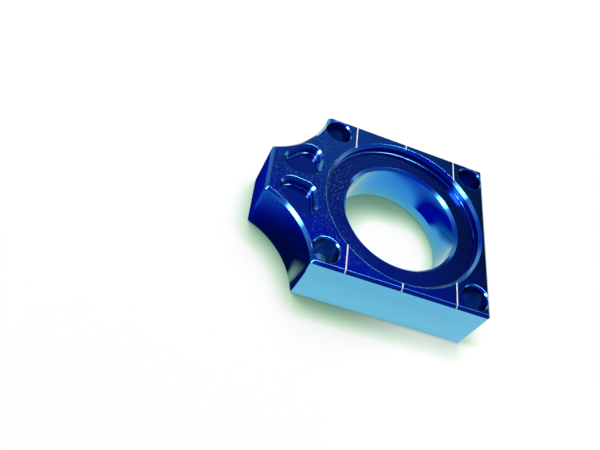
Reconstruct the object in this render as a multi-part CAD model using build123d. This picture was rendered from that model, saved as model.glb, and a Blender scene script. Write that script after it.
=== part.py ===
from build123d import *
import os
from math import hypot, sqrt

# Axle bore and washer seat, in millimetres
axle_diameter = 25.0
axle_clearance = 0.15
bore_chamfer = 0.65
bore_exit_chamfer = 0.45
seat_width = 4.8
recess_depth = 2.0
recess_chamfer = 0.6
recess_floor_radius = 0.3

# Block outline
seat_thickness = 10.0
side_wall = 2.3
tail_wall = 1.7
shoulder_wall = 1.7
nose_length = 11.2
nose_width = 11.6
scallop_radius = 17.7
edge_chamfer = 0.6
edge_break = 0.3
corner_land = 0.15

# Corner holes, placed from the edges beside them
hole_diameter = 5.5
hole_chamfer = 0.3
hole_side_margin = 3.75
hole_tail_margin = 3.4
hole_shoulder_margin = 2.6

# Nose pockets, measured between walls below the rim chamfer
pocket_depth = 2.0
pocket_chamfer = 0.6
pocket_floor_radius = 0.3
pocket_corner_radius = 2.4
pocket_rib = 3.0
pocket_land = 3.0
pocket_shoulder_land = 3.2
pocket_scallop_wall = 1.5
pocket_nose_scallop_wall = 2.0
pocket_nose_wall = 3.2

# Index marks engraved across the long edges
mark_pitch = 11.9
mark_width = 0.3
mark_depth = 0.1

# Sizes that follow
bore_radius = axle_diameter / 2 + axle_clearance
recess_radius = bore_radius + seat_width
block_thickness = seat_thickness + recess_depth
half_width = recess_radius + side_wall
tail_x = recess_radius + tail_wall
shoulder_x = -(recess_radius + shoulder_wall)
nose_x = shoulder_x - nose_length
corner_radius = edge_chamfer + corner_land
hole_radius = hole_diameter / 2
hole_y = half_width - hole_side_margin
hole_tail_x = tail_x - hole_tail_margin
hole_shoulder_x = shoulder_x + hole_shoulder_margin
mark_middle_x = (hole_tail_x + hole_shoulder_x) / 2

# Slope of the pocket rims in degrees, and how far a cutter runs past the block in millimetres
rim_angle = 45
cut_margin = 1.0


def scallop_center():
    """Centre of the round scoop between the nose corner and the shoulder corner on the +Y side."""
    chord_x = shoulder_x - nose_x
    chord_y = half_width - nose_width / 2
    chord = hypot(chord_x, chord_y)
    rise = sqrt(scallop_radius**2 - (chord / 2) ** 2)
    middle_x = (shoulder_x + nose_x) / 2
    middle_y = (half_width + nose_width / 2) / 2
    return middle_x - rise * chord_y / chord, middle_y + rise * chord_x / chord


def circle_crossing(center, radius, bore_distance):
    """Where a circle about the scallop centre meets one about the bore axis, on the nose side."""
    reach = hypot(*center)
    along = (bore_distance**2 - radius**2 + reach**2) / (2 * reach)
    across = sqrt(bore_distance**2 - along**2)
    toward_x = center[0] / reach
    toward_y = center[1] / reach
    return along * toward_x - across * toward_y, along * toward_y + across * toward_x


def body():
    """Flat block with straight sides and tail, and two scallops running in to a flat nose."""
    with BuildSketch() as outline:
        with BuildLine():
            nose = Line((nose_x, -nose_width / 2), (nose_x, nose_width / 2))
            scoop = RadiusArc(nose @ 1, (shoulder_x, half_width), -scallop_radius)
            sides = Polyline(scoop @ 1, (tail_x, half_width), (tail_x, -half_width), (shoulder_x, -half_width))
            RadiusArc(sides @ 1, nose @ 0, -scallop_radius)
        make_face()
        fillet(outline.vertices(), corner_radius)
    block = extrude(outline.sketch, block_thickness)
    block = chamfer(block.faces().sort_by(Axis.Z)[-1].edges(), edge_chamfer)
    return chamfer(block.faces().sort_by(Axis.Z)[0].edges(), edge_break)


def stepped_bore():
    """Axle bore opening into the washer recess, with every mouth chamfered."""
    seat_z = block_thickness - recess_depth
    with BuildSketch(Plane.XZ) as profile:
        with BuildLine():
            Polyline(
                (0, 0),
                (bore_radius + bore_exit_chamfer, 0),
                (bore_radius, bore_exit_chamfer),
                (bore_radius, seat_z - bore_chamfer),
                (bore_radius + bore_chamfer, seat_z),
                (recess_radius, seat_z),
                (recess_radius, block_thickness - recess_chamfer),
                (recess_radius + recess_chamfer, block_thickness),
                (0, block_thickness),
                close=True,
            )
        make_face()
        seat_corner = profile.vertices().sort_by_distance((recess_radius, seat_z))[0]
        fillet(seat_corner, recess_floor_radius)
    return revolve(profile.sketch, Axis.Z)


def corner_hole():
    """Drilled hole right through the block, countersunk a little at both ends."""
    with BuildSketch(Plane.XZ) as profile:
        with BuildLine():
            Polyline(
                (0, 0),
                (hole_radius + hole_chamfer, 0),
                (hole_radius, hole_chamfer),
                (hole_radius, block_thickness - hole_chamfer),
                (hole_radius + hole_chamfer, block_thickness),
                (0, block_thickness),
                close=True,
            )
        make_face()
    return revolve(profile.sketch, Axis.Z)


def nose_pocket():
    """Milled pocket with three rounded corners, on the +Y half of the nose."""
    scoop = scallop_center()
    tail_corner_y = pocket_rib / 2 + pocket_corner_radius
    tail_corner_x = -sqrt((recess_radius + pocket_land + pocket_corner_radius) ** 2 - tail_corner_y**2)
    shoulder_corner = circle_crossing(
        scoop,
        scallop_radius + pocket_scallop_wall + pocket_corner_radius,
        recess_radius + pocket_shoulder_land + pocket_corner_radius,
    )
    nose_corner_x = nose_x + pocket_nose_wall + pocket_corner_radius
    nose_corner_reach = scallop_radius + pocket_nose_scallop_wall + pocket_corner_radius
    nose_corner_y = scoop[1] - sqrt(nose_corner_reach**2 - (nose_corner_x - scoop[0]) ** 2)
    corners = [(tail_corner_x, tail_corner_y), shoulder_corner, (nose_corner_x, nose_corner_y)]
    with BuildSketch(Plane.XY.offset(block_thickness - pocket_depth)) as floor:
        with Locations(*corners):
            Circle(pocket_corner_radius)
        make_hull()
    well = extrude(floor.sketch, pocket_depth)
    well = fillet(well.faces().sort_by(Axis.Z)[0].edges(), pocket_floor_radius)
    rim_plane = Pos(0, 0, pocket_depth - pocket_chamfer) * floor.sketch
    return well + extrude(rim_plane, pocket_chamfer, taper=-rim_angle)


def index_mark(x):
    """Shallow line from the recess rim out over the edge chamfer, on the +Y side."""
    start_y = sqrt(recess_radius**2 - x**2)
    shift = mark_depth * (sqrt(2) - 1)
    drop = edge_chamfer + mark_depth * sqrt(2)
    with BuildSketch(Plane.YZ.offset(x - mark_width / 2)) as section:
        with BuildLine():
            Polyline(
                (start_y, block_thickness - mark_depth),
                (half_width - edge_chamfer - shift, block_thickness - mark_depth),
                (half_width, block_thickness - drop),
                (half_width + cut_margin, block_thickness - drop),
                (half_width + cut_margin, block_thickness + cut_margin),
                (start_y, block_thickness + cut_margin),
                close=True,
            )
        make_face()
    return extrude(section.sketch, mark_width)


axle_block = body() - stepped_bore()
for hole_x in (hole_shoulder_x, hole_tail_x):
    for side_y in (hole_y, -hole_y):
        axle_block -= Pos(hole_x, side_y, 0) * corner_hole()
for cutter in [nose_pocket()] + [index_mark(mark_middle_x + step * mark_pitch) for step in (-1, 0, 1)]:
    axle_block -= cutter
    axle_block -= mirror(cutter, Plane.XZ)

os.makedirs("parts", exist_ok=True)
export_step(axle_block, "parts/axle_block.step")
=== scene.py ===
from math import cos, pi, radians, sin
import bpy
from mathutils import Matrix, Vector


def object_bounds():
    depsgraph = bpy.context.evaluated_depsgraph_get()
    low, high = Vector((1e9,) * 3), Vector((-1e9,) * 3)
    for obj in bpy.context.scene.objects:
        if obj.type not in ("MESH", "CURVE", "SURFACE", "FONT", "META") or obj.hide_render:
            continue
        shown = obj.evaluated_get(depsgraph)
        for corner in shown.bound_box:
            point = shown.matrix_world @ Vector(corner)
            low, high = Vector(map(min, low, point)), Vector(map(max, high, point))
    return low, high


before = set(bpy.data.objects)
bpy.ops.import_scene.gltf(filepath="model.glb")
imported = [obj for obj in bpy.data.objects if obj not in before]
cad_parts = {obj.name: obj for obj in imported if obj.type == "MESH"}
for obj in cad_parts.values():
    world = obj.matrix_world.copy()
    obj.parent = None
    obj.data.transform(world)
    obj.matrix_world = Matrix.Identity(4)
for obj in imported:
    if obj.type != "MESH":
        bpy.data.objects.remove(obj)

from types import SimpleNamespace
import bpy
from mathutils import Matrix, Vector

cad_low, cad_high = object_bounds()
millimetre = 0.001

# The photograph's viewpoint, in the block's own frame
camera_place = Vector((-51.6955, -95.7303, 114.0506)) * millimetre
camera_forward = Vector((0.216955, 0.617844, -0.755777))
camera_up = Vector((-0.30306, 0.778592, 0.549498))
sensor_width = 36.0
focal_length = 42.566
nearest_seen = 1.0 * millimetre

# Floor, and its shade close to the block and inside the bore
floor_size = 6.0
floor_drop = 0.02 * millimetre
paper_colour = (0.22, 0.21, 0.22, 1)
shade_samples = 16
shade_reach = 5.9 * millimetre
shade_lean = (-0.22, 0.60, 0.77)
bore_shade_reach = 8.0 * millimetre
tail_shade_reach = 4.2 * millimetre
bore_shade_lean = (-0.20, 0.74, 0.64)
bore_edge = (12.5 * millimetre, 13.0 * millimetre)
bore_tail_half = (0.0, 10.0 * millimetre)
front_fade_x = (-10.0 * millimetre, 12.0 * millimetre)
front_fade_y = (-20.5 * millimetre, -18.5 * millimetre)
front_fade = 0.5
far_white = (0.08, 0.40)
seen_shade = (
    (0.02, (0.04, 0.06, 0.06)),
    (0.30, (0.10, 0.24, 0.14)),
    (0.40, (0.12, 0.28, 0.16)),
    (0.72, (0.47, 0.66, 0.46)),
    (0.94, (0.80, 0.81, 0.79)),
)
mirrored_shade = (
    (0.12, (0.0, 0.003, 0.04)),
    (0.36, (0.98, 0.98, 0.90)),
    (0.80, (0.90, 0.89, 0.86)),
    (1.00, (0.79, 0.81, 0.81)),
)

# Sky that only reflections see: its colours by height, then where each stretch of it sets in and is full
side_sky = (
    (0.00, (0.06, 0.10, 0.30)),
    (0.30, (0.015, 0.06, 0.36)),
    (0.60, (0.02, 0.09, 0.45)),
    (0.76, (0.002, 0.008, 0.45)),
)
back_sky = (
    (0.24, (0.015, 0.03, 0.12)),
    (0.58, (0.02, 0.04, 0.20)),
    (0.65, (0.036, 0.072, 0.30)),
    (0.68, (0.036, 0.072, 0.31)),
    (0.72, (0.018, 0.03, 0.28)),
    (0.75, (0.003, 0.010, 0.42)),
    (0.78, (0.002, 0.008, 0.45)),
)
tail_sky = (
    (0.24, (0.015, 0.03, 0.12)),
    (0.60, (0.004, 0.012, 0.045)),
    (0.67, (0.004, 0.010, 0.06)),
    (0.71, (0.004, 0.010, 0.20)),
    (0.78, (0.002, 0.008, 0.45)),
)
pale_horizon = (
    (0.00, (0.45, 0.45, 0.40)),
    (0.10, (0.50, 0.48, 0.45)),
    (0.28, (0.45, 0.40, 0.32)),
    (0.40, (0.0, 0.0, 0.0)),
)
tail_glow = (
    (0.00, (0.50, 0.45, 0.50)),
    (0.14, (0.70, 0.55, 0.60)),
    (0.22, (0.20, 0.18, 0.22)),
    (0.30, (0.0, 0.0, 0.0)),
)
behind_x = (-0.25, 0.10)
behind_y = (0.25, 0.50)
tail_sky_x = (0.28, 0.47)
horizon_y = (0.55, 0.95)
horizon_least = 0.12
glow_x = (0.84, 0.97)

# Light that falls on the block from all round, and how a lamp's light falls off from its middle to its edge
fill_light = 0.45
white = (1, 1, 1, 1)
lamp_middle = 0.5
lamp_fall = (0.08, 0.5)

# Sizes of the block in millimetres, as it is cut
block_top = 12.0
seat_height = 10.0
bore_radius = 12.65
bore_rim_radius = 13.30
recess_radius = 17.45
rim_radius = 18.05
floor_corner = 0.3
half_width = 19.75
tail_x = 19.15
shoulder_x = -19.15
edge_chamfer = 0.6
edge_round = 0.14
edge_samples = 8
scallop_x = -36.66
scallop_y = 22.31
scallop_radius = 17.7
hole_radius = 2.75
hole_reach = 16.15
hole_y = 16.0
mark_middle = -0.4
mark_pitch = 11.9
mark_width = 0.3
tool_mark_depth = 0.002

# Where the finish changes, in millimetres: each pair holds the two ends of a band or of an eased step
ring_blur = 0.05
seat_ring = (recess_radius - 0.15, recess_radius + 0.05)
seat_z = (seat_height + 0.2, seat_height + 0.6)
recess_wall_ring = (recess_radius - 0.45, recess_radius + 0.25)
recess_wall_z = (seat_height + 0.1, block_top - edge_chamfer + 0.02)
recess_wall_blur = 0.04
corner_ring_end = recess_radius + 0.05
corner_z = (seat_height - 0.02, seat_height + floor_corner)
tail_corner_ring = (recess_radius - 0.45, recess_radius + 0.05)
tail_corner_x = (13.2, 15.8)
tail_corner_z = (seat_height + 0.25, seat_height + 0.35)
side_edge_y = (half_width - 0.8, half_width - 0.65)
tail_edge_x = (tail_x - 0.8, tail_x - 0.65)
chamfer_z = (block_top - 0.68, block_top - 0.58)
past_shoulder_x = (shoulder_x + 0.65, shoulder_x + 2.15)
hole_wall_reach = (hole_radius + 0.05, hole_radius + 0.15)
hole_rim_reach = (hole_radius + 0.3, hole_radius + 0.4)
bore_wall_reach = (bore_radius + 0.1, bore_radius + 0.2)
scallop_reach = (scallop_radius + 0.2, scallop_radius + 0.4)
pocket_scallop_reach = (scallop_radius + 0.8, scallop_radius + 1.0)
pocket_tail_x = (-19.9, -19.7)
pocket_nose_x = (-28.0, -27.5)
pocket_side_z = (seat_height + 0.05, seat_height + 0.2)
pocket_floor_z = (seat_height + 0.1, seat_height + 0.3)
lip_ring = (rim_radius - 0.05, rim_radius + 0.15)
lip_blur = 0.03
lip_z = (block_top - 0.1, block_top - 0.05)
near_x = (-16.0, -8.0)
near_y = (-12.0, -8.0)
land_z = (block_top - 0.3, block_top - 0.1)
worn_x = (-22.0, 0.0)
brushed_x = (-30.0, -23.0)
brushed_z = (4.0, 11.0)
mark_blur = 0.03
mark_reach = 15.5
mark_ring_start = rim_radius - 0.05
mark_foot = block_top - edge_chamfer - 0.1

# How far a surface faces up, and how far a pocket's rim faces the tail
level_facing = (0.85, 0.97)
steep_facing = (0.3, 0.6)
rim_facing = (0.55, 0.9)
pocket_rim_facing = (0.55, 0.85)
facing_blur = 0.05
nose_side_facing = (0.50, 0.64)
tail_side_facing = (-0.55, -0.25)

# Grain of the finish: scale per millimetre, detail, and the part of its values that shows
cloud_scale = 0.25
cloud_detail = 3
mottle_scale = 2.0
mottle_detail = 5
streak_scale = 3.0
streak_detail = 2
streak_stretch = (1, 1, 0.03)
ring_scale = 5.0
ring_detail = 2.0
grain_roughness = 0.65
grain_middle = 0.5
patch_grain = (0.30, 0.60)
speck_grain = (0.50, 0.70)
streak_grain = (0.40, 0.64)

# Colours of the dye, and how far each surface is darkened towards the dark colour: on cut walls, hole walls,
# chamfers and pocket sides this darkening is painted shade; the seat, milled pocket floors, clouds and
# streaks are simply darker
clear_dye = (0.068, 0.445, 0.70, 1)
# The dark colour is the dye's darker tone and also the colour of the painted shade in the cuts
dark_dye_and_shade = (0.008, 0.045, 0.33, 1)
rubbed_dye = (0.30, 0.62, 0.80, 1)
mark_colour = (0.90, 0.88, 0.90, 1)
# Painted shade: how dark the cuts, hole walls, straight chamfers and pocket sides are painted
cut_shade = 0.95
hole_wall_shade = 0.8
straight_edge_shade = 0.85
pocket_flank_shade = 0.85
pocket_nose_side_shade = 0.1
pocket_tail_side_shade = 0.3
seat_darkening = 0.7
milled_depth = 0.56
cloud_depth = 0.25
streak_depth = 0.6

# Roughness of the polish, and what each surface adds to it
polish = 0.03
cloud_dullness = 0.06
seat_dullness = 0.06
milled_dullness = 0.06
speck_dullness = 0.12
mark_dullness = 0.35
rim_dullness = 0.2
far_bore_rim = 0.6

# Wear of the dye, the light that bare metal scatters, and the clear sealed skin
worn_least = 0.12
seat_wear = 1.2
speck_paleness = 0.75
speck_scatter = 0.17
streak_scatter = 0.40
pocket_scatter = 0.12
clear_coat = 0.8
coat_roughness = 0.08
coat_index = 1.5
bore_wall_unsealed = 0.7


def look_from_photograph():
    """Camera at the photograph's viewing angle, with its roll."""
    lens = bpy.data.cameras.new("photo_camera")
    lens.sensor_width = sensor_width
    lens.lens = focal_length
    lens.clip_start = nearest_seen
    eye = bpy.data.objects.new("photo_camera", lens)
    bpy.context.scene.collection.objects.link(eye)
    back = -camera_forward.normalized()
    right = camera_up.cross(back).normalized()
    up = back.cross(right)
    turn = Matrix((right, up, back)).transposed().to_4x4()
    eye.matrix_world = Matrix.Translation(camera_place) @ turn
    bpy.context.scene.camera = eye


def new_material(name):
    """Empty node material with its output."""
    material = bpy.data.materials.new(name)
    material.use_nodes = True
    tree = material.node_tree
    tree.nodes.clear()
    output = tree.nodes.new("ShaderNodeOutputMaterial")
    return material, tree, output


def colour_ramp(tree, value, stops):
    """Colour that follows a value through the given stops of place and colour."""
    ramp = tree.nodes.new("ShaderNodeValToRGB")
    marks = ramp.color_ramp.elements
    while len(marks) < len(stops):
        marks.new(0.5)
    for mark, (place, colour) in zip(marks, stops):
        mark.position = place
        mark.color = (*colour, 1)
    tree.links.new(value, ramp.inputs["Fac"])
    return ramp.outputs["Color"]


def colour_mix(tree, amount, first, second):
    """First colour turning into the second by the given amount; each is a socket or a plain colour."""
    mix = tree.nodes.new("ShaderNodeMix")
    mix.data_type = "RGBA"
    tree.links.new(amount, mix.inputs["Factor"])
    for socket, colour in (("A", first), ("B", second)):
        if isinstance(colour, tuple):
            mix.inputs[socket].default_value = colour
        else:
            tree.links.new(colour, mix.inputs[socket])
    return mix.outputs["Result"]


def split_vector(tree, vector):
    """Sockets X, Y and Z of a vector."""
    split = tree.nodes.new("ShaderNodeSeparateXYZ")
    tree.links.new(vector, split.inputs[0])
    return split.outputs


def vector_length(tree, vector):
    """Length of a vector."""
    length = tree.nodes.new("ShaderNodeVectorMath")
    length.operation = "LENGTH"
    tree.links.new(vector, length.inputs[0])
    return length.outputs["Value"]


def maths(tree, operation, *values):
    """One calculation with the given sockets and numbers."""
    node = tree.nodes.new("ShaderNodeMath")
    node.operation = operation
    for socket, value in zip(node.inputs, values):
        if isinstance(value, (int, float)):
            socket.default_value = value
        else:
            tree.links.new(value, socket)
    return node.outputs[0]


def product(tree, *values):
    """All the given values multiplied."""
    total = values[0]
    for value in values[1:]:
        total = maths(tree, "MULTIPLY", total, value)
    return total


def most(tree, *values):
    """The largest of the given values."""
    largest = values[0]
    for value in values[1:]:
        largest = maths(tree, "MAXIMUM", largest, value)
    return largest


def weighed(tree, start, *terms):
    """A starting amount plus each value times its weight."""
    amount = start
    for value, weight in terms:
        amount = maths(tree, "MULTIPLY_ADD", value, weight, amount)
    return amount


def distance(tree, first, second):
    """Distance that two offsets at right angles make."""
    squares = maths(tree, "ADD", maths(tree, "POWER", first, 2), maths(tree, "POWER", second, 2))
    return maths(tree, "SQRT", squares)


def span(tree, value, low, high, bottom=0.0, top=1.0):
    """Value eased from bottom at low to top at high, and held beyond."""
    node = tree.nodes.new("ShaderNodeMapRange")
    node.interpolation_type = "SMOOTHSTEP"
    for socket, number in zip(("From Min", "From Max", "To Min", "To Max"), (low, high, bottom, top)):
        node.inputs[socket].default_value = number
    tree.links.new(value, node.inputs["Value"])
    return node.outputs["Result"]


def fade(tree, value, low, high):
    """One up to low, eased to nothing at high."""
    return span(tree, value, low, high, 1.0, 0.0)


def band(tree, value, low, high, blur):
    """One inside the band from low to high, nothing outside, blurred a little at both ends."""
    rise = span(tree, value, low - blur, low + blur)
    return product(tree, rise, fade(tree, value, high - blur, high + blur))


def floor_openness(tree, place, away):
    """How open the floor lies near the block, with its own reach and lean inside the bore."""
    outside = span(tree, away, *bore_edge)
    inside = maths(tree, "SUBTRACT", 1.0, outside)
    x = split_vector(tree, place)["X"]
    bore_reach = span(tree, x, *bore_tail_half, bore_shade_reach, tail_shade_reach)
    reach = weighed(tree, product(tree, bore_reach, inside), (outside, shade_reach))
    lean = tree.nodes.new("ShaderNodeCombineXYZ")
    for way, inner, outer in zip("XYZ", bore_shade_lean, shade_lean):
        tree.links.new(span(tree, away, *bore_edge, inner, outer), lean.inputs[way])
    open_air = tree.nodes.new("ShaderNodeAmbientOcclusion")
    open_air.samples = shade_samples
    tree.links.new(reach, open_air.inputs["Distance"])
    tree.links.new(lean.outputs[0], open_air.inputs["Normal"])
    return open_air.outputs["AO"]


def floor_material():
    """Pale paper that fills in as white for the eye and for reflections, and keeps the block's soft shade."""
    material, tree, output = new_material("white_paper")
    link = tree.links.new
    place = tree.nodes.new("ShaderNodeTexCoord").outputs["Object"]
    away = vector_length(tree, place)
    # The paper's shade near the block is painted: its colour follows how open the floor lies
    openness = floor_openness(tree, place, away)
    sides = split_vector(tree, place)
    # The painted shade is lightened in front of the block towards the tail, and the floor turns white far
    # away
    front_right = product(tree, span(tree, sides["X"], *front_fade_x), fade(tree, sides["Y"], *front_fade_y))
    whiter = most(tree, span(tree, away, *far_white), product(tree, front_right, front_fade))
    seen = colour_mix(tree, whiter, colour_ramp(tree, openness, seen_shade), white)
    mirrored = colour_ramp(tree, openness, mirrored_shade)
    path = tree.nodes.new("ShaderNodeLightPath")
    eye_ray = path.outputs["Is Camera Ray"]
    glossy_ray = path.outputs["Is Glossy Ray"]
    fill = tree.nodes.new("ShaderNodeEmission")
    link(colour_mix(tree, glossy_ray, seen, mirrored), fill.inputs["Color"])
    link(most(tree, eye_ray, glossy_ray), fill.inputs["Strength"])
    paper = tree.nodes.new("ShaderNodeBsdfDiffuse")
    paper.inputs["Color"].default_value = paper_colour
    link(added(tree, paper.outputs[0], fill.outputs[0]), output.inputs["Surface"])
    return material


def lay_floor():
    """Large floor just under the block."""
    mesh = bpy.data.meshes.new("floor")
    half = floor_size / 2
    z = cad_low.z - floor_drop
    corners = [(-half, -half, z), (half, -half, z), (half, half, z), (-half, half, z)]
    mesh.from_pydata(corners, [], [(0, 1, 2, 3)])
    floor = bpy.data.objects.new("floor", mesh)
    bpy.context.scene.collection.objects.link(floor)
    floor.data.materials.append(floor_material())


def flag_material(name, stops, softness, square):
    """Card that fades out towards its rim; a square one changes its colour sideways only."""
    material, tree, output = new_material(name)
    place = tree.nodes.new("ShaderNodeTexCoord").outputs["Object"]
    if square:
        sides = split_vector(tree, place)
        sideways = maths(tree, "ABSOLUTE", sides["X"])
        reach = most(tree, sideways, maths(tree, "ABSOLUTE", sides["Y"]))
    else:
        reach = vector_length(tree, place)
        sideways = reach
    card = tree.nodes.new("ShaderNodeEmission")
    tree.links.new(colour_ramp(tree, sideways, stops), card.inputs["Color"])
    clear = tree.nodes.new("ShaderNodeBsdfTransparent")
    faded = chosen(tree, span(tree, reach, 1 - softness, 1.0), card.outputs[0], clear.outputs[0])
    tree.links.new(faded, output.inputs["Surface"])
    return material


def flag(name, center, lift, half_sizes, stops, softness, turn=0.0, square=False):
    """Oval or square card over the floor that only reflections show, in millimetres and degrees."""
    mesh = bpy.data.meshes.new(name)
    corners = [(-1, -1, 0), (1, -1, 0), (1, 1, 0), (-1, 1, 0)]
    mesh.from_pydata(corners, [], [(0, 1, 2, 3)])
    card = bpy.data.objects.new(name, mesh)
    bpy.context.scene.collection.objects.link(card)
    card.location = Vector((*center, lift)) * millimetre + Vector((0, 0, cad_low.z))
    card.rotation_euler.z = radians(turn)
    card.scale = (half_sizes[0] * millimetre, half_sizes[1] * millimetre, 1)
    card.data.materials.append(flag_material(name, stops, softness, square))
    card.visible_camera = False
    card.visible_diffuse = False
    card.visible_shadow = False


def plain(colour):
    """Stops of one colour all over."""
    return (0.0, colour), (1.0, colour)


def nose_cards():
    """Dark cards that the nose and the scallops mirror, and a pale one at the near shoulder."""
    nose_blues = (
        (0.36, (0.02, 0.10, 0.58)),
        (0.40, (0.006, 0.03, 0.50)),
        (0.45, (0.001, 0.008, 0.37)),
        (0.50, (0.001, 0.006, 0.27)),
        (0.54, (0.001, 0.005, 0.20)),
        (0.60, (0.001, 0.005, 0.11)),
        (0.74, (0.001, 0.005, 0.06)),
    )
    navy = plain((0.0, 0.008, 0.11))
    straw = plain((0.55, 0.50, 0.34))
    dark_teal = plain((0.006, 0.04, 0.09))
    flag("nose_flag", (-44, 0), 0.1, (25.2, 20.0), nose_blues, 0.03, square=True)
    flag("shoulder_flag", (-24.65, -18.4), 0.2, (4.9, 3.5), navy, 0.03, turn=140, square=True)
    flag("shoulder_card", (-19.5, -17.0), 0.15, (6.4, 0.95), straw, 0.7, turn=148)
    flag("far_flag", (-28, 52), 0.1, (8, 20), dark_teal, 0.5)


def bore_cards():
    """Cards that the bore's wall mirrors, and a bright one for the hole at the near shoulder."""
    bore_blues = (
        (0.45, (0.26, 0.42, 0.90)),
        (0.78, (0.52, 0.64, 0.90)),
        (0.95, (0.85, 0.82, 0.66)),
    )
    royal_blues = (
        (0.0, (0.0, 0.004, 0.46)),
        (0.45, (0.0, 0.006, 0.36)),
        (0.85, (0.03, 0.16, 0.75)),
    )
    teal = plain((0.02, 0.15, 0.40))
    bright = plain((1.4, 1.3, 1.2))
    flag("bore_card", (0, 0), 0.05, (12.6, 12.6), bore_blues, 0.02)
    flag("bore_flag", (8.9, 9.1), 2.6, (13.5, 4.1), royal_blues, 0.55, turn=44)
    flag("bore_end_flag", (9.8, 4.4), 3.45, (3.2, 2.0), teal, 0.95, turn=-50)
    flag("hole_card", (-16.75, -18.15), 0.05, (2.1, 1.0), bright, 0.5)


def background(tree, colour, strength):
    """One layer of the world; colour and strength are sockets or plain values."""
    layer = tree.nodes.new("ShaderNodeBackground")
    for socket, value in zip(layer.inputs, (colour, strength)):
        if isinstance(value, (tuple, int, float)):
            socket.default_value = value
        else:
            tree.links.new(value, socket)
    return layer.outputs[0]


def added(tree, first, second):
    """Two shaders added up."""
    node = tree.nodes.new("ShaderNodeAddShader")
    tree.links.new(first, node.inputs[0])
    tree.links.new(second, node.inputs[1])
    return node.outputs[0]


def chosen(tree, amount, first, second):
    """First shader giving way to the second by the given amount."""
    node = tree.nodes.new("ShaderNodeMixShader")
    tree.links.new(amount, node.inputs["Fac"])
    tree.links.new(first, node.inputs[1])
    tree.links.new(second, node.inputs[2])
    return node.outputs[0]


def studio_world():
    """White to the eye, pale at the horizon and blue overhead in reflections, and an even soft fill light."""
    world = bpy.data.worlds.new("studio")
    bpy.context.scene.world = world
    world.use_nodes = True
    tree = world.node_tree
    tree.nodes.clear()
    x, y, z = split_vector(tree, tree.nodes.new("ShaderNodeTexCoord").outputs["Generated"])
    behind = product(tree, span(tree, x, *behind_x), span(tree, y, *behind_y))
    tailwards = span(tree, x, *tail_sky_x)
    far_sky = colour_mix(tree, tailwards, colour_ramp(tree, z, back_sky), colour_ramp(tree, z, tail_sky))
    sky = colour_mix(tree, behind, colour_ramp(tree, z, side_sky), far_sky)
    horizon_strength = span(tree, y, *horizon_y, horizon_least, 1.0)
    horizon = background(tree, colour_ramp(tree, z, pale_horizon), horizon_strength)
    glow = background(tree, colour_ramp(tree, z, tail_glow), span(tree, x, *glow_x))
    mirrored = added(tree, background(tree, sky, 1.0), added(tree, horizon, glow))
    path = tree.nodes.new("ShaderNodeLightPath")
    fill = background(tree, white, fill_light)
    unseen = chosen(tree, path.outputs["Is Glossy Ray"], fill, mirrored)
    seen = chosen(tree, path.outputs["Is Camera Ray"], unseen, background(tree, white, 1.0))
    output = tree.nodes.new("ShaderNodeOutputWorld")
    tree.links.new(seen, output.inputs["Surface"])


def softbox(name, azimuth, elevation, reach, size, radiance, colour=(1, 1, 1), mirrored=True, shades=True):
    """Rectangular lamp that faces the block from the given direction, brightest in its middle; in metres."""
    width, height = size
    lamp = bpy.data.lights.new(name, "AREA")
    lamp.shape = "RECTANGLE"
    lamp.size = width
    lamp.size_y = height
    lamp.color = colour
    lamp.energy = radiance * width * height * pi
    lamp.use_nodes = True
    tree = lamp.node_tree
    across = split_vector(tree, tree.nodes.new("ShaderNodeNewGeometry").outputs["Parametric"])
    falls = []
    for way in ("X", "Y"):
        off = maths(tree, "ABSOLUTE", maths(tree, "SUBTRACT", across[way], lamp_middle))
        falls.append(fade(tree, off, *lamp_fall))
    tree.links.new(product(tree, *falls), tree.nodes["Emission"].inputs["Strength"])
    box = bpy.data.objects.new(name, lamp)
    bpy.context.scene.collection.objects.link(box)
    a = radians(azimuth)
    e = radians(elevation)
    away = Vector((cos(a) * cos(e), sin(a) * cos(e), sin(e)))
    box.location = away * reach
    box.rotation_mode = "QUATERNION"
    box.rotation_quaternion = away.to_track_quat("Z", "Y")
    box.visible_glossy = mirrored
    box.visible_diffuse = shades
    box.visible_camera = False


def studio_lamps():
    """Four lamps that only gloss shows, and one from above and behind that gloss doesn't show."""
    cool = (0.55, 0.6, 1.0)
    rosy = (1, 0.72, 0.78)
    softbox("key_softbox", -160, 41, 0.5, (0.20, 0.25), 14, shades=False)
    softbox("wide_softbox", -172, 38, 0.6, (0.70, 0.36), 0.55, colour=cool, shades=False)
    softbox("strip_softbox", 0, 66, 0.6, (0.62, 0.28), 5.5, shades=False)
    softbox("back_softbox", 60, 69, 0.6, (0.36, 0.24), 18, colour=rosy, shades=False)
    softbox("top_softbox", 90, 58, 0.6, (0.5, 0.5), 9, mirrored=False)


def block_places(tree):
    """Place on the block in millimetres, its distance from each cut's axis, and the way its surface faces."""
    coordinates = tree.nodes.new("ShaderNodeTexCoord")
    sized = tree.nodes.new("ShaderNodeVectorMath")
    sized.operation = "SCALE"
    sized.inputs["Scale"].default_value = 1 / millimetre
    tree.links.new(coordinates.outputs["Object"], sized.inputs[0])
    x, y, z = split_vector(tree, sized.outputs[0])
    facing = split_vector(tree, coordinates.outputs["Normal"])
    side = maths(tree, "ABSOLUTE", y)
    along = maths(tree, "SUBTRACT", x, mark_middle)
    scoop_x = maths(tree, "SUBTRACT", x, scallop_x)
    scoop_y = maths(tree, "SUBTRACT", side, scallop_y)
    hole_off_x = maths(tree, "SUBTRACT", maths(tree, "ABSOLUTE", along), hole_reach)
    hole_off_y = maths(tree, "SUBTRACT", side, hole_y)
    return SimpleNamespace(
        place=sized.outputs[0],
        x=x,
        y=y,
        z=z,
        side=side,
        along=along,
        radius=distance(tree, x, y),
        from_scoop=distance(tree, scoop_x, scoop_y),
        from_hole=distance(tree, hole_off_x, hole_off_y),
        up=facing["Z"],
        tailward=facing["X"],
    )


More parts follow.
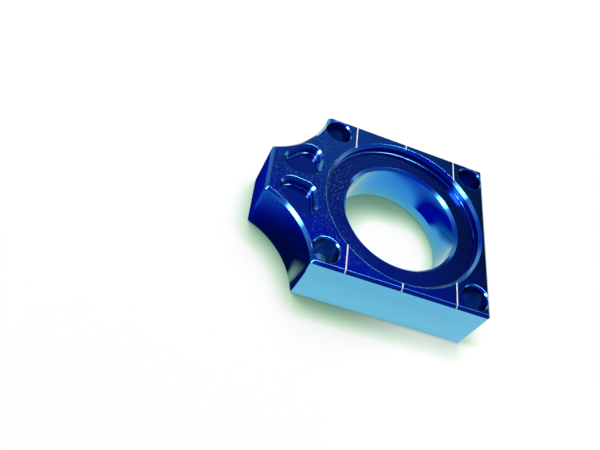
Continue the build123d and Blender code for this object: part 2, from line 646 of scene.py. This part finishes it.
def index_marks(tree, at):
    """Mask of the three engraved lines on each long edge."""
    steps = maths(tree, "DIVIDE", at.along, mark_pitch)
    part_step = maths(tree, "SUBTRACT", steps, maths(tree, "ROUND", steps))
    off = maths(tree, "ABSOLUTE", maths(tree, "MULTIPLY", part_step, mark_pitch))
    line = fade(tree, off, mark_width / 2 - mark_blur, mark_width / 2 + mark_blur)
    counted = maths(tree, "LESS_THAN", maths(tree, "ABSOLUTE", at.along), mark_reach)
    outside = maths(tree, "GREATER_THAN", at.radius, mark_ring_start)
    high = maths(tree, "GREATER_THAN", at.z, mark_foot)
    return product(tree, line, counted, outside, high)


def pocket_cuts(tree, at, level, steep):
    """Masks of the nose pockets: well, milled floor, wall, and rim; the wall and rim take painted shade, the
    rim most along its flanks.
    """
    before_recess = fade(tree, at.x, *pocket_tail_x)
    behind_nose = span(tree, at.x, *pocket_nose_x)
    well = product(tree, before_recess, behind_nose, span(tree, at.from_scoop, *pocket_scallop_reach))
    sides = product(tree, well, span(tree, at.z, *pocket_side_z))
    sloped = band(tree, at.up, *pocket_rim_facing, facing_blur)
    # How much painted shade the rim takes: most along its flanks, much less at both ends, least at the nose
    # end where it faces the tail
    nose_side = span(tree, at.tailward, *nose_side_facing, pocket_flank_shade, pocket_nose_side_shade)
    tail_side = span(tree, at.tailward, *tail_side_facing, pocket_tail_side_shade, 1.0)
    return SimpleNamespace(
        well=well,
        floor=product(tree, well, level, fade(tree, at.z, *pocket_floor_z)),
        wall=product(tree, sides, steep),
        rim=product(tree, sides, sloped, nose_side, tail_side),
    )


def straight_edges(tree, at):
    """Mask of the chamfers along the tail and the long sides, clear of the holes, weighted by how dark they
    are painted as shade.
    """
    outer = most(tree, span(tree, at.side, *side_edge_y), span(tree, at.x, *tail_edge_x))
    high = span(tree, at.z, *chamfer_z)
    past_shoulder = span(tree, at.x, *past_shoulder_x)
    clear_of_holes = span(tree, at.from_hole, *hole_rim_reach)
    return product(tree, outer, high, past_shoulder, clear_of_holes, straight_edge_shade)


def sunk_cuts(tree, at, steep):
    """Mask of the hole walls, the recess wall, its floor corner at the tail, and the straight edges, which
    are painted darker as shade and lose some clear coat.
    """
    hole_wall = product(tree, steep, fade(tree, at.from_hole, *hole_wall_reach), hole_wall_shade)
    wall_ring = band(tree, at.radius, *recess_wall_ring, ring_blur)
    recess_wall = product(tree, steep, wall_ring, band(tree, at.z, *recess_wall_z, recess_wall_blur))
    # Painted shade on the recess floor corner towards the tail
    corner_ring = band(tree, at.radius, *tail_corner_ring, ring_blur)
    at_tail = span(tree, at.x, *tail_corner_x)
    tail_corner = product(tree, at_tail, corner_ring, fade(tree, at.z, *tail_corner_z))
    return most(tree, hole_wall, recess_wall, tail_corner, straight_edges(tree, at))


def dull_rims(tree, at):
    """Mask of the chamfered rims of recess and bore, whose gloss is softer on the near side."""
    sloped = band(tree, at.up, *rim_facing, facing_blur)
    near = most(tree, fade(tree, at.x, *near_x), fade(tree, at.y, *near_y))
    lip = product(tree, band(tree, at.radius, *lip_ring, lip_blur), span(tree, at.z, *lip_z))
    recess_slope = product(tree, band(tree, at.radius, recess_radius, rim_radius, ring_blur), sloped)
    recess_rim = product(tree, most(tree, recess_slope, lip), near)
    bore_slope = product(tree, band(tree, at.radius, bore_radius, bore_rim_radius, ring_blur), sloped)
    return most(tree, recess_rim, product(tree, bore_slope, most(tree, near, far_bore_rim)))


def cut_surfaces(tree, at):
    """Masks of the block's cut surfaces."""
    level = span(tree, at.up, *level_facing)
    steep = fade(tree, maths(tree, "ABSOLUTE", at.up), *steep_facing)
    pocket = pocket_cuts(tree, at, level, steep)
    pocket_side = most(tree, pocket.wall, pocket.rim)
    sunk = sunk_cuts(tree, at, steep)
    return SimpleNamespace(
        level=level,
        seat=product(tree, level, fade(tree, at.radius, *seat_ring), fade(tree, at.z, *seat_z)),
        bore_wall=product(tree, steep, fade(tree, at.radius, *bore_wall_reach), bore_wall_unsealed),
        scallop=product(tree, steep, fade(tree, at.from_scoop, *scallop_reach)),
        sunk=sunk,
        # Mask of the painted shade: sunk cuts and pocket sides
        shaded_cuts=most(tree, sunk, pocket_side),
        pocket_well=pocket.well,
        pocket_floor=pocket.floor,
        pocket_side=pocket_side,
        rims=dull_rims(tree, at),
        marks=index_marks(tree, at),
    )


def noise(tree, vector, scale, detail, stretch=(1, 1, 1)):
    """Cloudy value over the block, its grain set by the scale per millimetre."""
    mapping = tree.nodes.new("ShaderNodeMapping")
    mapping.inputs["Scale"].default_value = stretch
    tree.links.new(vector, mapping.inputs["Vector"])
    cloud = tree.nodes.new("ShaderNodeTexNoise")
    cloud.inputs["Scale"].default_value = scale
    cloud.inputs["Detail"].default_value = detail
    cloud.inputs["Roughness"].default_value = grain_roughness
    tree.links.new(mapping.outputs[0], cloud.inputs["Vector"])
    return cloud.outputs["Fac"]


def handling_wear(tree, at, cuts):
    """Clouds in the dye, cutter streaks on the scallops, and handling specks, most on the nose half."""
    cloud = noise(tree, at.place, cloud_scale, cloud_detail)
    mottle = noise(tree, at.place, mottle_scale, mottle_detail)
    streaks = noise(tree, at.place, streak_scale, streak_detail, streak_stretch)
    worn_half = span(tree, at.x, *worn_x, 1.0, worn_least)
    land = most(tree, span(tree, at.z, *land_z), product(tree, cuts.seat, seat_wear))
    patches = span(tree, cloud, *patch_grain)
    specks = product(tree, span(tree, mottle, *speck_grain), patches, cuts.level, worn_half, land)
    upper_nose = product(tree, span(tree, at.z, *brushed_z), fade(tree, at.x, *brushed_x))
    brushed = product(tree, cuts.scallop, span(tree, streaks, *streak_grain), upper_nose)
    return SimpleNamespace(cloud=cloud, streaks=streaks, specks=specks, brushed=brushed)


def dye_colour(tree, cuts, wear):
    """Blue dye with painted shade in the cuts, darker on the seat and milled pocket floors, clouded and
    streaked, rubbed pale in specks, with pale marks.
    """
    cloudy = maths(tree, "SUBTRACT", wear.cloud, grain_middle)
    streaky = product(tree, maths(tree, "SUBTRACT", wear.streaks, grain_middle), cuts.scallop)
    # Darkening towards the dark colour; the term for the cuts is painted shade
    darkening = weighed(
        tree,
        0.0,
        (cuts.shaded_cuts, cut_shade),
        (cuts.seat, seat_darkening),
        (cuts.pocket_floor, milled_depth),
        (cloudy, cloud_depth),
        (streaky, streak_depth),
    )
    dye = colour_mix(tree, darkening, clear_dye, dark_dye_and_shade)
    worn = colour_mix(tree, product(tree, wear.specks, speck_paleness), dye, rubbed_dye)
    return colour_mix(tree, cuts.marks, worn, mark_colour)


def dullness(tree, cuts, wear):
    """Roughness of the polish, more where it was turned, milled, engraved or handled."""
    return weighed(
        tree,
        polish,
        (wear.cloud, cloud_dullness),
        (cuts.seat, seat_dullness),
        (wear.specks, speck_dullness),
        (cuts.marks, mark_dullness),
        (cuts.pocket_floor, milled_dullness),
        (cuts.rims, rim_dullness),
    )


def metal_shine(tree, cuts, wear):
    """How metallic the surface looks: less where marks, specks, streaks and pocket sides scatter light."""
    return weighed(
        tree,
        1.0,
        (cuts.marks, -1.0),
        (wear.specks, -speck_scatter),
        (wear.brushed, -streak_scatter),
        (cuts.pocket_side, -pocket_scatter),
    )


def corner_facing(tree, z):
    """Way the rounded corner of a sunk floor faces: its slope follows from its height alone."""
    normal = split_vector(tree, tree.nodes.new("ShaderNodeNewGeometry").outputs["Normal"])
    across = tree.nodes.new("ShaderNodeCombineXYZ")
    for way in ("X", "Y"):
        tree.links.new(normal[way], across.inputs[way])
    level = tree.nodes.new("ShaderNodeVectorMath")
    level.operation = "NORMALIZE"
    tree.links.new(across.outputs[0], level.inputs[0])
    rise = maths(tree, "DIVIDE", maths(tree, "SUBTRACT", seat_height + floor_corner, z), floor_corner)
    rise = maths(tree, "MINIMUM", maths(tree, "MAXIMUM", rise, 0.0), 1.0)
    run = maths(tree, "SQRT", maths(tree, "SUBTRACT", 1.0, maths(tree, "POWER", rise, 2)))
    sides = tree.nodes.new("ShaderNodeVectorMath")
    sides.operation = "SCALE"
    tree.links.new(level.outputs[0], sides.inputs[0])
    tree.links.new(run, sides.inputs["Scale"])
    upward = tree.nodes.new("ShaderNodeCombineXYZ")
    tree.links.new(rise, upward.inputs["Z"])
    whole = tree.nodes.new("ShaderNodeVectorMath")
    whole.operation = "ADD"
    tree.links.new(sides.outputs[0], whole.inputs[0])
    tree.links.new(upward.outputs[0], whole.inputs[1])
    return whole.outputs[0]


def floor_corners(tree, at, cuts):
    """Mask of the rounded floor corners of recess and pockets."""
    in_recess = maths(tree, "LESS_THAN", at.radius, corner_ring_end)
    in_pocket = maths(tree, "GREATER_THAN", cuts.pocket_well, 0.5)
    over = maths(tree, "GREATER_THAN", at.z, corner_z[0])
    under = maths(tree, "LESS_THAN", at.z, corner_z[1])
    return product(tree, most(tree, in_recess, in_pocket), over, under)


def surface_facing(tree, at, cuts, wear):
    """Rounded edges and floor corners, with turned rings on the seat and streaks on the scallops."""
    soft = tree.nodes.new("ShaderNodeBevel")
    soft.samples = edge_samples
    soft.inputs["Radius"].default_value = edge_round * millimetre
    facing = tree.nodes.new("ShaderNodeMix")
    facing.data_type = "VECTOR"
    tree.links.new(floor_corners(tree, at, cuts), facing.inputs["Factor"])
    tree.links.new(soft.outputs["Normal"], facing.inputs["A"])
    tree.links.new(corner_facing(tree, at.z), facing.inputs["B"])
    rings = tree.nodes.new("ShaderNodeTexNoise")
    rings.noise_dimensions = "1D"
    rings.inputs["Scale"].default_value = ring_scale
    rings.inputs["Detail"].default_value = ring_detail
    tree.links.new(at.radius, rings.inputs["W"])
    turned = product(tree, rings.outputs["Fac"], cuts.seat)
    height = maths(tree, "ADD", turned, product(tree, wear.streaks, cuts.scallop))
    bump = tree.nodes.new("ShaderNodeBump")
    bump.inputs["Distance"].default_value = tool_mark_depth * millimetre
    tree.links.new(height, bump.inputs["Height"])
    tree.links.new(facing.outputs["Result"], bump.inputs["Normal"])
    return bump.outputs["Normal"]


def blue_anodised():
    """Dyed, polished aluminium under a clear sealed skin, of which cut walls and marks have less."""
    material, tree, output = new_material("blue_anodised")
    link = tree.links.new
    at = block_places(tree)
    cuts = cut_surfaces(tree, at)
    wear = handling_wear(tree, at, cuts)
    unsealed = most(tree, cuts.marks, cuts.sunk, cuts.bore_wall)
    metal = tree.nodes.new("ShaderNodeBsdfPrincipled")
    metal.inputs["Coat Roughness"].default_value = coat_roughness
    metal.inputs["Coat IOR"].default_value = coat_index
    link(dye_colour(tree, cuts, wear), metal.inputs["Base Color"])
    link(metal_shine(tree, cuts, wear), metal.inputs["Metallic"])
    link(dullness(tree, cuts, wear), metal.inputs["Roughness"])
    link(weighed(tree, clear_coat, (unsealed, -clear_coat)), metal.inputs["Coat Weight"])
    link(surface_facing(tree, at, cuts, wear), metal.inputs["Normal"])
    link(metal.outputs[0], output.inputs["Surface"])
    return material


def dress_block():
    """The block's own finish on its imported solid."""
    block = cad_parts["axle_block"]
    block.material_slots[0].material = blue_anodised()


bpy.context.scene.view_settings.view_transform = "Standard"
look_from_photograph()
lay_floor()
studio_world()
nose_cards()
bore_cards()
studio_lamps()
dress_block()
